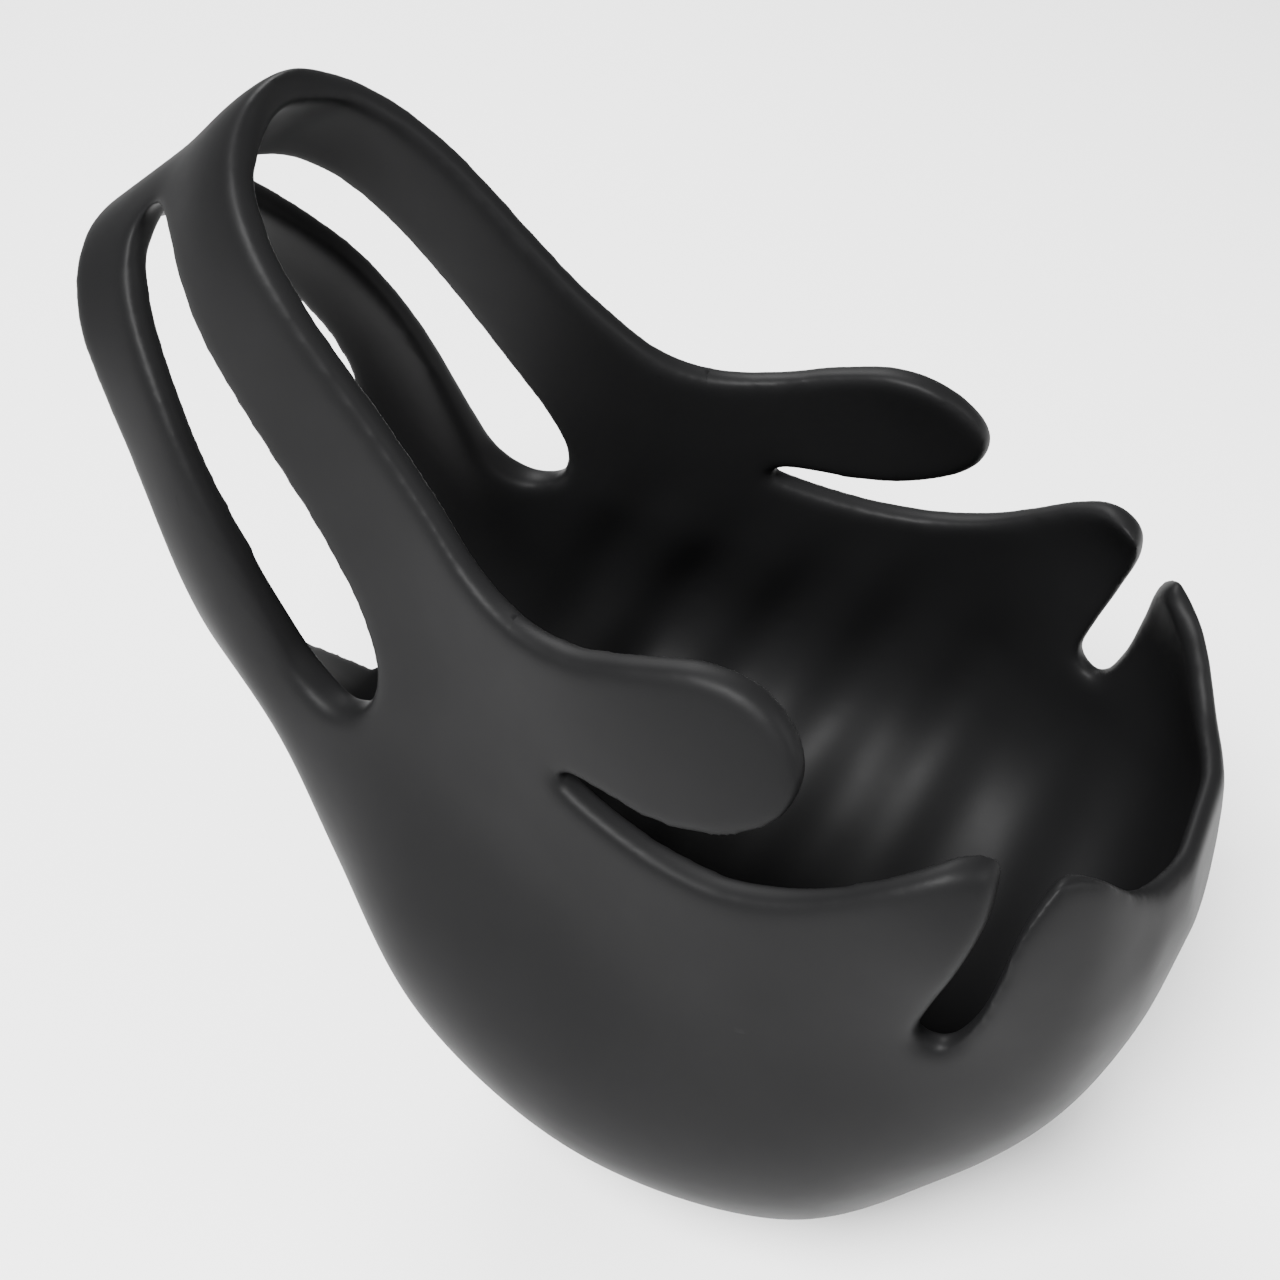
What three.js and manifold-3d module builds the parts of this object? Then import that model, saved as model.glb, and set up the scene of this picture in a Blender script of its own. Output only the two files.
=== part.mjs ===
// Wearable silicone massager: an open ribbed cup with a twin-loop collar, two side wings and a
// front lip, and a sealed drive pod in the thick floor of the cup.
// Millimetres. +Z is up, +X points from the collar to the front lip, and the origin is on the flat
// landing under the cup. The object is symmetric about the plane Y = 0 apart from what the pod holds.

import * as THREE from 'three';
import { mergeVertices } from 'three/addons/utils/BufferGeometryUtils.js';
import Module from 'manifold-3d';

const wasm = await Module();
wasm.setup();

// ---------------------------------------------------------------- driving dimensions

const GAP = 0.3; // clearance between neighbouring pieces
const RINGS = 46; // rings along the sleeve
const RING_STEPS = 19; // steps down each side of a ring
const HALF_SPAN = 60; // reach of a side cutter to each side of the middle plane
const PROBE = 0.02; // step, as a fraction, over which a skin's slope is measured
const MOST_INSET = 1.6; // most the wall is thickened across the sleeve where its skin leans
const ROUND_TOP = 0.05; // part of a hollow ring over which its top rounds off
const OPEN_ROOF = 0.5; // roof left over the hollow where the front opening cuts it away
const ROOF_END = 4; // hollow section at which the wall-thick roof starts to thin

// Sections of the sleeve's outer skin from the collar's mouth to the nose. Each runs down the middle
// plane from top to bottom, and half holds its half widths at the top, quarters and bottom. wall is
// the silicone's thickness, and floor its thickness at the bottom, measured down the section. flat is
// the fraction of the hollow's ring, from its top, below which it rounds off.
const SECTIONS = [
  { top: [-84, 101.3], bottom: [-58, 48], half: [21.5, 17.3, 17.4, 18.8, 18],
    wall: 3.3, floor: 3.6, flat: 0.3 },
  { top: [-72, 110.7], bottom: [-50, 34], half: [19, 20.4, 21.6, 22.5, 21],
    wall: 3.3, floor: 12, flat: 0.35 },
  { top: [-59, 121], bottom: [-43, 18], half: [26, 20.5, 21.5, 29, 27],
    wall: 3.3, floor: 23, flat: 0.5 },
  { top: [-39, 126], bottom: [-32, 4.5], half: [30, 21.5, 24.5, 38, 33],
    wall: 3.3, floor: 25, flat: 0.66 },
  { top: [-19, 121], bottom: [-12, -2.5], half: [32, 28.5, 30, 42.5, 36],
    wall: 3.3, floor: 29, flat: 0.66 },
  { top: [1, 111], bottom: [9, -1], half: [33, 32, 33, 39.5, 35],
    wall: 3.2, floor: 27.5, flat: 0.66 },
  { top: [18, 98], bottom: [22, 11.5], half: [29.5, 32.5, 28.5, 31, 29],
    wall: 2.9, floor: 17, flat: 0.66 },
  { top: [29, 86], bottom: [30.6, 24.5], half: [24.5, 23.5, 23, 23.2, 22],
    wall: 2.5, floor: 8, flat: 0.66 },
  { top: [33.9, 76], bottom: [35.6, 39], half: [15, 13.5, 15, 14.8, 14.5],
    wall: 2.3, floor: 4.5, flat: 0.66 },
  { top: [35.8, 69.5], bottom: [37.8, 54], half: [7, 7, 7, 7, 7],
    wall: 2.3, floor: 3.5, flat: 0.66 },
];

// Side-view outlines, [x, z]. Everything above FRONT_EDGE is open: it runs down the collar's front
// edge, round the wing, back along the long slit, along the rim, down and up the short slit, and
// along the lip.
const FRONT_EDGE = [
  [-58.6, 123.5], [-59.6, 120.8], [-59.7, 118.4], [-57.6, 115.4], [-51.8, 109], [-44, 100.5],
  [-36, 92], [-30.5, 87], [-25.6, 85.1], [-19, 85.4], [-12, 87.6], [-5.5, 89.2], [-0.5, 88.2],
  [3, 85.4], [4.4, 82], [3, 78], [-1.5, 74.6], [-7, 72.8], [-13, 72.6], [-17.5, 72.8],
  [-19.6, 71.6], [-17.5, 70.6], [-10, 68.8], [-3, 68.5], [3.5, 70], [9, 72.8], [14.5, 76.4],
  [18.5, 78.2], [21.2, 77.2], [21.8, 74], [20.6, 68], [18.2, 60], [17.6, 56.4], [20, 55],
  [22.1, 58.7], [23.4, 65], [24.4, 71.4], [26.3, 75], [29, 75.6], [39, 76],
];
// Front view of the dip in the lip's edge, [y, z] from the middle out
const LIP_DIP = [
  [0, 66.3], [6.4, 66.4], [9.3, 66.6], [11.3, 66.9], [13, 67.7], [14.7, 69], [15.9, 70.3],
  [17, 71.8], [18.2, 73.1], [19.4, 74.1], [21, 74.9], [23, 75.6],
];
const LIP_DIP_BACK = 24; // how far back along the sleeve the dip's cutter starts
// Everything behind REAR_EDGE, the collar's rear edge, is open
const REAR_EDGE = [
  [-85.5, 104], [-82.2, 100.6], [-78.4, 94.4], [-75, 89.6], [-71.8, 85.1], [-69, 79.9],
  [-66.8, 73.3], [-64.9, 65.4], [-62, 57.8], [-58.6, 50.6], [-54.8, 44.2],
];
const SLOT = [
  [-72.6, 102.6], [-65.1, 92.2], [-59.2, 82.4], [-54.4, 72.5], [-51.6, 67.4], [-47.6, 64.9],
  [-43.6, 66.2], [-41.9, 70.7], [-43.5, 76.4], [-48.2, 84.2], [-54.6, 93], [-61.6, 101.6],
  [-66.4, 106.8], [-70.2, 108.2], [-72.9, 106.2],
];

// Living hinges. The wings turn about a slanted line between the slit's end and the collar's valley,
// and the lip turns about a line across the sleeve between the short slits' ends.
const WING_LINE = [[-19.4, 71.6], [-25.6, 85.1]];
const WING_HINGE_GAP = 1.2;
const LIP_AXIS = [28, 58];
const LIP_HINGE_RISE = 2; // half the clearance of the lip's hinge at its front and back ends

// Pod, along X, in the floor of the cup
const POD = { x: -6, length: 39, width: 26, radius: 8, chamfer: 5, wall: 1.6 };
const POD_BOTTOM = 3.2;
const POD_SPLIT = 17.4;
const POD_TOP = 21;
const GASKET_HEIGHT = 0.6;
const SCREW = { dx: 15, dy: 9, headRadius: 1.5, headHeight: 0.9, radius: 0.7, length: 7, boss: 2.2 };
const BOARD = { x: -6, length: 25, width: 17, bottom: 8, thickness: 1 };
const DRIVE_Y = 5.8; // motor axis to one side, battery axis to the other
const DRIVE_Z = 14.6;
const MOTOR = { radius: 4, length: 13, x: -15.5, shaftRadius: 0.75, cap: 1 };
const WEIGHT = { radius: 3.9, length: 5, x: 0.6 };
const CELL = { radius: 4.2, length: 23, x: -17.5 };
const LEAD_RADIUS = 0.45;

// Underside
const BUTTON = { x: -14.5, radius: 4.5, recess: 1, thickness: 1.5, stemRadius: 1.8, stemTop: 5.8 };
const SWITCH = { size: 4, height: 1.5 };
const LIGHT = { x: -6.2, radius: 1, recess: 0.6 };
const CONTACT = { x: 2.6, y: 3.4, radius: 1.2, recess: 0.4 };
const MAGNET = { x: -1.6, y: 5.4, radius: 1.8, height: 2 };
const CHIP = { x: -2.2, size: 4, height: 1 };

// ---------------------------------------------------------------- solids and booleans

function toSolid(geometry) {
  const bare = geometry.clone();
  for (const name of Object.keys(bare.attributes)) {
    if (name !== 'position') bare.deleteAttribute(name);
  }
  const merged = mergeVertices(bare, 1e-5);
  return new wasm.Manifold(new wasm.Mesh({
    numProp: 3,
    vertProperties: new Float32Array(merged.attributes.position.array),
    triVerts: new Uint32Array(merged.index.array),
  }));
}

function toGeometry(solid) {
  const mesh = solid.getMesh();
  const geometry = new THREE.BufferGeometry();
  geometry.setAttribute('position', new THREE.BufferAttribute(mesh.vertProperties, 3));
  geometry.setIndex(new THREE.BufferAttribute(mesh.triVerts, 1));
  return geometry;
}

function cut(solid, ...tools) {
  return tools.reduce((left, tool) => left.subtract(tool), solid);
}

// Prism across the sleeve whose side view is the outline
function sidePrism(outline, yLow = -HALF_SPAN, yHigh = HALF_SPAN) {
  const shape = new THREE.Shape(outline.map(([x, z]) => new THREE.Vector2(x, z)));
  const geometry = new THREE.ExtrudeGeometry(shape, { depth: yHigh - yLow, bevelEnabled: false });
  geometry.rotateX(Math.PI / 2);
  geometry.translate(0, yHigh, 0);
  return toSolid(geometry);
}

function smoothOutline(points, steps, closed = false) {
  const curve = new THREE.CatmullRomCurve3(
    points.map(([x, z]) => new THREE.Vector3(x, 0, z)), closed, 'centripetal');
  const divided = curve.getPoints(steps).map((point) => [point.x, point.z]);
  return closed ? divided.slice(0, -1) : divided;
}

function cylinder(radius, length, axis, centre, sides = 24) {
  const geometry = new THREE.CylinderGeometry(radius, radius, length, sides);
  if (axis === 'x') geometry.rotateZ(Math.PI / 2);
  if (axis === 'z') geometry.rotateX(Math.PI / 2);
  return geometry.translate(...centre);
}

function box(size, centre) {
  return new THREE.BoxGeometry(...size).translate(...centre);
}

// Rounded rectangle in plan, as a THREE.Shape
function plate(length, width, radius) {
  const [x, y] = [length / 2, width / 2];
  const shape = new THREE.Shape();
  shape.moveTo(x, y - radius);
  shape.absarc(x - radius, y - radius, radius, 0, Math.PI / 2);
  shape.absarc(radius - x, y - radius, radius, Math.PI / 2, Math.PI);
  shape.absarc(radius - x, radius - y, radius, Math.PI, 1.5 * Math.PI);
  shape.absarc(x - radius, radius - y, radius, 1.5 * Math.PI, 2 * Math.PI);
  return shape;
}

// Upright solid lofted through rounded rectangles, each given as [z, inset]
function plateStack(length, width, radius, centreX, layers) {
  const rings = layers.map(([z, inset]) => {
    const shape = plate(length - 2 * inset, width - 2 * inset, Math.max(radius - inset, 1));
    const points = shape.getPoints(6);
    if (points[0].distanceTo(points[points.length - 1]) < 1e-6) points.pop();
    return points.map((point) => [point.x + centreX, point.y, z]);
  });
  return skin(rings);
}

// Closed solid through rings of equal length, with a fan over each end
function skin(rings) {
  const count = rings[0].length;
  const positions = rings.flat(2);
  const index = [];
  for (let row = 0; row < rings.length - 1; row += 1) {
    for (let column = 0; column < count; column += 1) {
      const next = (column + 1) % count;
      const [a, b] = [row * count + column, row * count + next];
      const [c, d] = [a + count, b + count];
      index.push(a, b, d, a, d, c);
    }
  }
  for (const [row, flip] of [[0, true], [rings.length - 1, false]]) {
    const middle = [0, 1, 2].map((axis) => (
      rings[row].reduce((sum, point) => sum + point[axis], 0) / count));
    const hub = positions.length / 3;
    positions.push(...middle);
    for (let column = 0; column < count; column += 1) {
      const [a, b] = [row * count + column, row * count + (column + 1) % count];
      index.push(...(flip ? [b, a, hub] : [a, b, hub]));
    }
  }
  const geometry = new THREE.BufferGeometry();
  geometry.setAttribute('position', new THREE.Float32BufferAttribute(positions, 3));
  geometry.setIndex(index);
  return geometry;
}

// ---------------------------------------------------------------- sleeve

// Uniform Catmull-Rom value through evenly spaced knots, at position t counted in knots
function through(knots, t) {
  const last = knots.length - 1;
  const i = Math.min(Math.floor(t), last - 1);
  const w = t - i;
  const p1 = knots[i];
  const p2 = knots[i + 1];
  const p0 = i > 0 ? knots[i - 1] : 2 * p1 - p2;
  const p3 = i < last - 1 ? knots[i + 2] : 2 * p2 - p1;
  return 0.5 * (2 * p1 + (p2 - p0) * w + (2 * p0 - 5 * p1 + 4 * p2 - p3) * w * w
    + (3 * p1 - p0 - 3 * p2 + p3) * w ** 3);
}

const mix = (a, b, t) => a + (b - a) * t;

// Half width of a section at the fraction v of the way down it
function halfWidth(half, v) {
  return through(half, v * (half.length - 1)) * 2 * Math.sqrt(Math.max(v * (1 - v), 0));
}

// Section at position t along the sleeve, counted in sections
function sectionAt(sections, t) {
  const value = (pick) => through(sections.map(pick), t);
  return {
    top: [0, 1].map((k) => value((section) => section.top[k])),
    bottom: [0, 1].map((k) => value((section) => section.bottom[k])),
    half: sections[0].half.map((_, k) => value((section) => section.half[k])),
    wall: value((section) => section.wall),
    floor: value((section) => section.floor),
    flat: value((section) => section.flat),
  };
}

// Closed solid through rings. ringAt takes the fraction along the sleeve, and gives a function from
// the fraction down the ring to [x, half width, z].
function loft(ringAt) {
  const rings = [];
  for (let row = 0; row <= RINGS; row += 1) {
    const pointAt = ringAt(row / RINGS);
    const ring = [];
    for (let step = 0; step < 2 * RING_STEPS; step += 1) {
      const angle = (step / RING_STEPS) * Math.PI;
      const side = Math.sin(angle) < 0 ? 1 : -1;
      const [x, width, z] = pointAt((1 - Math.cos(angle)) / 2);
      ring.push([x, side * width, z]);
    }
    rings.push(ring);
  }
  return toSolid(skin(rings));
}

function sleeveSkin() {
  return loft((along) => {
    const { top, bottom, half } = sectionAt(SECTIONS, along * (SECTIONS.length - 1));
    return (v) => [mix(top[0], bottom[0], v), halfWidth(half, v), mix(top[1], bottom[1], v)];
  });
}

// Factor that rounds a hollow ring off at its top and bottom
function rounding(v, flat) {
  const past = Math.max((ROUND_TOP - v) / ROUND_TOP, (v - flat) / (1 - flat), 0);
  return Math.sqrt(Math.max(1 - past * past, 0));
}

// The hollow: the outer skin moved in by the wall, measured square to the skin along the sleeve and
// down each ring, with the floor below. It starts a section's length behind the collar's mouth.
function hollowSkin() {
  const beyond = (end) => [0, 1].map((k) => 2 * SECTIONS[0][end][k] - SECTIONS[1][end][k]);
  const mouth = { ...SECTIONS[0], top: beyond('top'), bottom: beyond('bottom') };
  const sections = [mouth, ...SECTIONS];
  const last = sections.length - 1;
  const middle = ({ top, bottom }) => (top[0] + bottom[0]) / 2;
  return loft((along) => {
    const t = along * last;
    const { top, bottom, half, wall, floor, flat } = sectionAt(sections, t);
    const before = sectionAt(sections, Math.max(t - PROBE, 0));
    const after = sectionAt(sections, Math.min(t + PROBE, last));
    const slope = Math.min((after.half[2] - before.half[2]) / (middle(after) - middle(before)), 0);
    const square = Math.hypot(slope, 1);
    const length = Math.hypot(bottom[0] - top[0], bottom[1] - top[1]);
    const roof = mix(wall, OPEN_ROOF, THREE.MathUtils.clamp(t - ROOF_END, 0, 1));
    return (v) => {
      const u = mix(roof / length, 1 - floor / length, v);
      const step = Math.min(PROBE, u, 1 - u);
      const tilt = (halfWidth(half, u + step) - halfWidth(half, u - step)) / (2 * step * length);
      const inset = (wall / square) * Math.min(Math.hypot(tilt, 1), MOST_INSET);
      return [
        mix(top[0], bottom[0], u) + (wall * slope) / square,
        Math.max(halfWidth(half, u) - inset, 0.01) * rounding(v, flat),
        mix(top[1], bottom[1], u),
      ];
    };
  });
}

function frontCutter() {
  const edge = smoothOutline(FRONT_EDGE, 120);
  return sidePrism([[-50, 150], [-57, 128], ...edge, [60, 76], [60, 150]]);
}

// Prism along X through the front view of the lip's dip
function dipCutter() {
  const half = smoothOutline(LIP_DIP, 24);
  const outline = [...half.slice(1).reverse().map(([y, z]) => [-y, z]), ...half, [30, 90], [-30, 90]];
  const shape = new THREE.Shape(outline.map(([y, z]) => new THREE.Vector2(y, z)));
  const geometry = new THREE.ExtrudeGeometry(shape, { depth: HALF_SPAN, bevelEnabled: false });
  geometry.applyMatrix4(new THREE.Matrix4().makeBasis(
    new THREE.Vector3(0, 1, 0), new THREE.Vector3(0, 0, 1), new THREE.Vector3(1, 0, 0)));
  return toSolid(geometry.translate(LIP_DIP_BACK, 0, 0));
}

function rearCutter() {
  return sidePrism([...smoothOutline(REAR_EDGE, 34), [-100, REAR_EDGE.at(-1)[1]], [-100, 104]]);
}

// Region on the flap's side of its hinge line, moved by shift along the sleeve
function wingRegion(shift, yLow, yHigh) {
  const [[x0, z0], [x1, z1]] = WING_LINE;
  const [dx, dz] = [(x1 - x0) * 0.2, (z1 - z0) * 0.2];
  return sidePrism([
    [x0 + shift, z0], [-15, 71.3], [-11, 70.7], [-4, 70.8], [2, 72.6], [8, 80], [8, 110],
    [x1 + dx + shift, 110], [x1 + dx + shift, z1 + dz],
  ], yLow, yHigh);
}

function lipRegion(sign) {
  const [x, z] = LIP_AXIS;
  const near = z + sign * GAP / 2;
  const far = z + sign * LIP_HINGE_RISE;
  return sidePrism([
    [19.6, far], [x, near], [40, far], [60, far], [60, 110], [23.8, 110], [23.8, 76], [22.2, 68],
  ]);
}

function sleeveSolids() {
  const shell = cut(
    sleeveSkin(),
    hollowSkin(),
    frontCutter(),
    dipCutter(),
    rearCutter(),
    sidePrism(smoothOutline(SLOT, 44, true)),
    toSolid(box([200, 200, 40], [0, 0, -20])),
    podPocket(),
  );
  const wing = WING_HINGE_GAP / 2;
  const body = cut(
    shell,
    wingRegion(-wing, 5, HALF_SPAN),
    wingRegion(-wing, -HALF_SPAN, -5),
    lipRegion(-1),
  );
  return {
    sleeve_body: body,
    wing_left: shell.intersect(wingRegion(wing, 5, HALF_SPAN)),
    wing_right: shell.intersect(wingRegion(wing, -HALF_SPAN, -5)),
    front_lip: shell.intersect(lipRegion(1)),
  };
}

// ---------------------------------------------------------------- pod

function podOuter(clearance) {
  const { x, length, width, radius, chamfer } = POD;
  const grow = -clearance;
  return toSolid(plateStack(length, width, radius, x, [
    [POD_BOTTOM - clearance, chamfer + grow],
    [POD_BOTTOM + chamfer * 0.3, chamfer * 0.35 + grow],
    [POD_BOTTOM + chamfer, grow],
    [POD_TOP - 1, grow],
    [POD_TOP + clearance, 1 + grow],
  ]));
}

function podInner(zLow, zHigh) {
  const { x, length, width, radius, chamfer, wall } = POD;
  return toSolid(plateStack(length, width, radius, x, [
    [zLow, Math.max(wall, chamfer + wall - (zLow - POD_BOTTOM))],
    [Math.max(zLow + 0.01, POD_BOTTOM + chamfer), wall],
    [zHigh, wall],
  ]));
}

// Holes from the pod down through the landing, for the button, light pipe and contacts
function undersideHoles(buttonRadius, clearance) {
  const hole = (x, y, radius) => toSolid(cylinder(radius + clearance, 12, 'z', [x, y, 0]));
  return [
    hole(BUTTON.x, 0, buttonRadius),
    hole(LIGHT.x, 0, LIGHT.radius),
    hole(CONTACT.x, CONTACT.y, CONTACT.radius),
    hole(CONTACT.x, -CONTACT.y, CONTACT.radius),
  ];
}

function podPocket() {
  return undersideHoles(BUTTON.radius, GAP).reduce((sum, hole) => sum.add(hole), podOuter(GAP));
}

function screwPlaces() {
  const { dx, dy } = SCREW;
  return [[dx, dy], [-dx, dy], [-dx, -dy], [dx, -dy]].map(([x, y]) => [POD.x + x, y]);
}

function podBase() {
  const floorTop = POD_BOTTOM + POD.wall;
  const below = toSolid(box([80, 80, 60], [0, 0, POD_SPLIT - 30]));
  let base = cut(podOuter(0).intersect(below), podInner(floorTop, POD_SPLIT + 1));
  const room = podOuter(0).intersect(below);
  for (const [x, y] of screwPlaces()) {
    const height = POD_SPLIT - floorTop;
    const boss = toSolid(cylinder(SCREW.boss, height + 1, 'z', [x, y, floorTop + height / 2 - 0.5], 16));
    base = base.add(boss.intersect(room));
  }
  const screwHoles = screwPlaces().map(([x, y]) => toSolid(
    cylinder(SCREW.radius + 0.1, SCREW.length, 'z', [x, y, POD_SPLIT + 1 - SCREW.length / 2], 16)));
  return cut(base, ...screwHoles, ...undersideHoles(BUTTON.stemRadius, 0.2));
}

function podLid() {
  const bottom = POD_SPLIT + GASKET_HEIGHT + 2 * 0.2;
  const above = toSolid(box([80, 80, 20], [0, 0, bottom + 10]));
  const ledge = toSolid(box([80, 80, 20], [0, 0, bottom - 9]));
  const hollow = podInner(POD_BOTTOM + POD.wall, POD_TOP - POD.wall).intersect(
    toSolid(box([80, 80, 40], [0, 0, POD_TOP - POD.wall - 20])));
  let lid = cut(podOuter(0).intersect(above), hollow);
  for (const [x, y] of screwPlaces()) {
    const post = toSolid(cylinder(SCREW.boss, 4, 'z', [x, y, bottom + 1.2], 16));
    lid = lid.add(cut(post.intersect(podOuter(0)), ledge).intersect(above));
  }
  for (const [x, y] of screwPlaces()) {
    lid = cut(
      lid,
      toSolid(cylinder(SCREW.radius + 0.1, 12, 'z', [x, y, POD_TOP], 16)),
      toSolid(cylinder(SCREW.headRadius + 0.15, 2, 'z', [x, y, POD_TOP - SCREW.headHeight + 0.8], 16)),
    );
  }
  return lid;
}

function podGasket() {
  const { x, length, width, radius, wall } = POD;
  const [low, high] = [POD_SPLIT + 0.2, POD_SPLIT + 0.2 + GASKET_HEIGHT];
  const outer = toSolid(plateStack(length, width, radius, x, [[low, 0.2], [high, 0.2]]));
  const inner = toSolid(plateStack(length, width, radius, x, [[low - 1, wall - 0.2], [high + 1, wall - 0.2]]));
  const posts = screwPlaces().map(([px, py]) => (
    toSolid(cylinder(SCREW.radius + 0.3, 10, 'z', [px, py, POD_SPLIT], 16))));
  return cut(outer, inner, ...posts);
}

function podScrew(x, y) {
  const under = POD_TOP - SCREW.headHeight - 0.15;
  const [head, shank] = [SCREW.headHeight, SCREW.length];
  const body = toSolid(cylinder(SCREW.headRadius, head, 'z', [x, y, under + head / 2], 16)).add(
    toSolid(cylinder(SCREW.radius, shank, 'z', [x, y, under - shank / 2 + 0.1], 16)));
  const slot = toSolid(box([2.2, 0.4, 0.8], [x, y, under + head]));
  const cross = toSolid(box([0.4, 2.2, 0.8], [x, y, under + head]));
  return cut(body, slot, cross);
}

// ---------------------------------------------------------------- what the pod holds

function motorCan() {
  const { radius, length, x, shaftRadius } = MOTOR;
  const body = toSolid(cylinder(radius, length, 'x', [x + length / 2, DRIVE_Y, DRIVE_Z]));
  const nose = toSolid(cylinder(1.6, 1, 'x', [x + length + 0.4, DRIVE_Y, DRIVE_Z]));
  const bore = toSolid(cylinder(shaftRadius + 0.06, 40, 'x', [x, DRIVE_Y, DRIVE_Z]));
  return cut(body.add(nose), bore);
}

function motorEndCap() {
  const { radius, x, cap } = MOTOR;
  return toSolid(cylinder(radius - 0.3, cap, 'x', [x - 0.2 - cap / 2, DRIVE_Y, DRIVE_Z]));
}

function motorCradle() {
  const { radius, length, x } = MOTOR;
  const low = BOARD.bottom + BOARD.thickness + 0.2;
  const top = DRIVE_Z - 0.6;
  const block = toSolid(box(
    [length - 2, 2 * radius + 2, top - low], [x + length / 2, DRIVE_Y, (low + top) / 2]));
  return cut(block, toSolid(cylinder(radius + 0.2, 40, 'x', [x, DRIVE_Y, DRIVE_Z])));
}

function eccentricWeight() {
  const { radius, length, x } = WEIGHT;
  const disc = toSolid(cylinder(radius, length, 'x', [x + length / 2, DRIVE_Y, DRIVE_Z]));
  const away = toSolid(box([20, 20, 10], [x, DRIVE_Y, DRIVE_Z + 5 + MOTOR.shaftRadius + 0.8]));
  const bore = toSolid(cylinder(MOTOR.shaftRadius + 0.06, 20, 'x', [x, DRIVE_Y, DRIVE_Z]));
  return cut(disc, away, bore);
}

function motorShaft() {
  const start = MOTOR.x + 0.5;
  const end = WEIGHT.x + WEIGHT.length;
  return toSolid(cylinder(MOTOR.shaftRadius, end - start, 'x', [(start + end) / 2, DRIVE_Y, DRIVE_Z]));
}

function batteryCell() {
  const { radius, length, x } = CELL;
  const rim = 0.5;
  const profile = [
    [0, 0], [radius - rim, 0], [radius, rim], [radius, length - rim], [radius - rim, length],
    [1.6, length], [1.6, length + 0.6], [0, length + 0.6],
  ].map(([r, along]) => new THREE.Vector2(r, along));
  const geometry = new THREE.LatheGeometry(profile, 24).rotateZ(-Math.PI / 2);
  return toSolid(geometry.translate(x, -DRIVE_Y, DRIVE_Z));
}

function batteryPad() {
  const low = BOARD.bottom + BOARD.thickness + 0.2;
  const top = DRIVE_Z - CELL.radius - 0.2;
  return toSolid(box([20, 5, top - low], [CELL.x + CELL.length / 2, -DRIVE_Y, (low + top) / 2]));
}

function circuitBoard() {
  const { x, length, width, bottom, thickness } = BOARD;
  return toSolid(plateStack(length, width, 2, x, [[bottom, 0], [bottom + thickness, 0]]));
}

function buttonCap() {
  const { x, radius, recess, thickness, stemRadius, stemTop } = BUTTON;
  const profile = [
    [0, recess + 0.4], [radius * 0.6, recess + 0.25], [radius - 0.3, recess], [radius, recess + 0.3],
    [radius, recess + thickness], [stemRadius, recess + thickness], [stemRadius, stemTop], [0, stemTop],
  ].map(([r, z]) => new THREE.Vector2(r, z));
  const geometry = new THREE.LatheGeometry(profile, 24).rotateX(Math.PI / 2);
  return toSolid(geometry.translate(x, 0, 0));
}

function tactSwitch() {
  const { size, height } = SWITCH;
  const top = BOARD.bottom - 0.1;
  const body = toSolid(box([size, size, height], [BUTTON.x, 0, top - height / 2]));
  return body.add(toSolid(cylinder(0.8, 0.2, 'z', [BUTTON.x, 0, top - height - 0.05], 16)));
}

function controlChip() {
  const { x, size, height } = CHIP;
  return toSolid(box([size, size, height], [x, 0, BOARD.bottom - 0.2 - height / 2]));
}

function uprightPin(radius, x, y, low, high) {
  return toSolid(cylinder(radius, high - low, 'z', [x, y, (low + high) / 2], 20));
}

function magnet(side) {
  const low = POD_BOTTOM + POD.wall + 0.5;
  return uprightPin(MAGNET.radius, MAGNET.x, side * MAGNET.y, low, low + MAGNET.height);
}

// Insulated lead along a smooth curve, a polygon section swept with closed ends
function lead(points) {
  const path = new THREE.CatmullRomCurve3(points.map((point) => new THREE.Vector3(...point)));
  const section = new THREE.Shape();
  section.absarc(0, 0, LEAD_RADIUS, 0, 2 * Math.PI);
  const geometry = new THREE.ExtrudeGeometry(section, {
    steps: 10, curveSegments: 4, bevelEnabled: false, extrudePath: path,
  });
  return toSolid(geometry);
}

const boardTop = BOARD.bottom + BOARD.thickness + LEAD_RADIUS + 0.2;

function batteryLead(side) {
  const end = CELL.x + CELL.length + (side > 0 ? 1.4 : 1);
  const y = 1.2 - DRIVE_Y + side * 1.2;
  return lead([
    [end, y, DRIVE_Z - 1], [end + 1.6, y, DRIVE_Z - 2.2], [end + 1.2, y + 0.6, boardTop + 1],
    [end - 1, y + 0.8, boardTop],
  ]);
}

function motorLead(side) {
  const end = MOTOR.x - MOTOR.cap - 0.7;
  const y = DRIVE_Y + side * 1.5;
  return lead([
    [end, y, DRIVE_Z - 1], [end - 1, y, DRIVE_Z - 2.4], [end - 0.8, y - 0.4, boardTop + 1],
    [end + 0.9, y - 0.6, boardTop],
  ]);
}

// ---------------------------------------------------------------- materials and assembly

const finish = (color, roughness, metalness = 0) => (
  new THREE.MeshStandardMaterial({ color, roughness, metalness }));

const silicone = finish(0x1d1d1f, 0.62);
const podPlastic = finish(0x2b2d30, 0.45);
const sealRubber = finish(0x8a3b22, 0.7);
const steel = finish(0xb8bbc0, 0.3, 1);
const brass = finish(0xc9a252, 0.3, 1);
const cellWrap = finish(0x2f6fb0, 0.4);
const foam = finish(0x3c3c3c, 0.95);
const boardGreen = finish(0x14563a, 0.5);
const chipBlack = finish(0x151515, 0.4);
const clearPipe = finish(0xe6ecef, 0.15);
const leadRed = finish(0xa01f1f, 0.5);
const leadBlack = finish(0x18181a, 0.5);

const massager = new THREE.Group();

function place(name, solid, material) {
  const mesh = new THREE.Mesh(toGeometry(solid), material);
  mesh.name = name;
  massager.add(mesh);
}

for (const [name, solid] of Object.entries(sleeveSolids())) place(name, solid, silicone);

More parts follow.
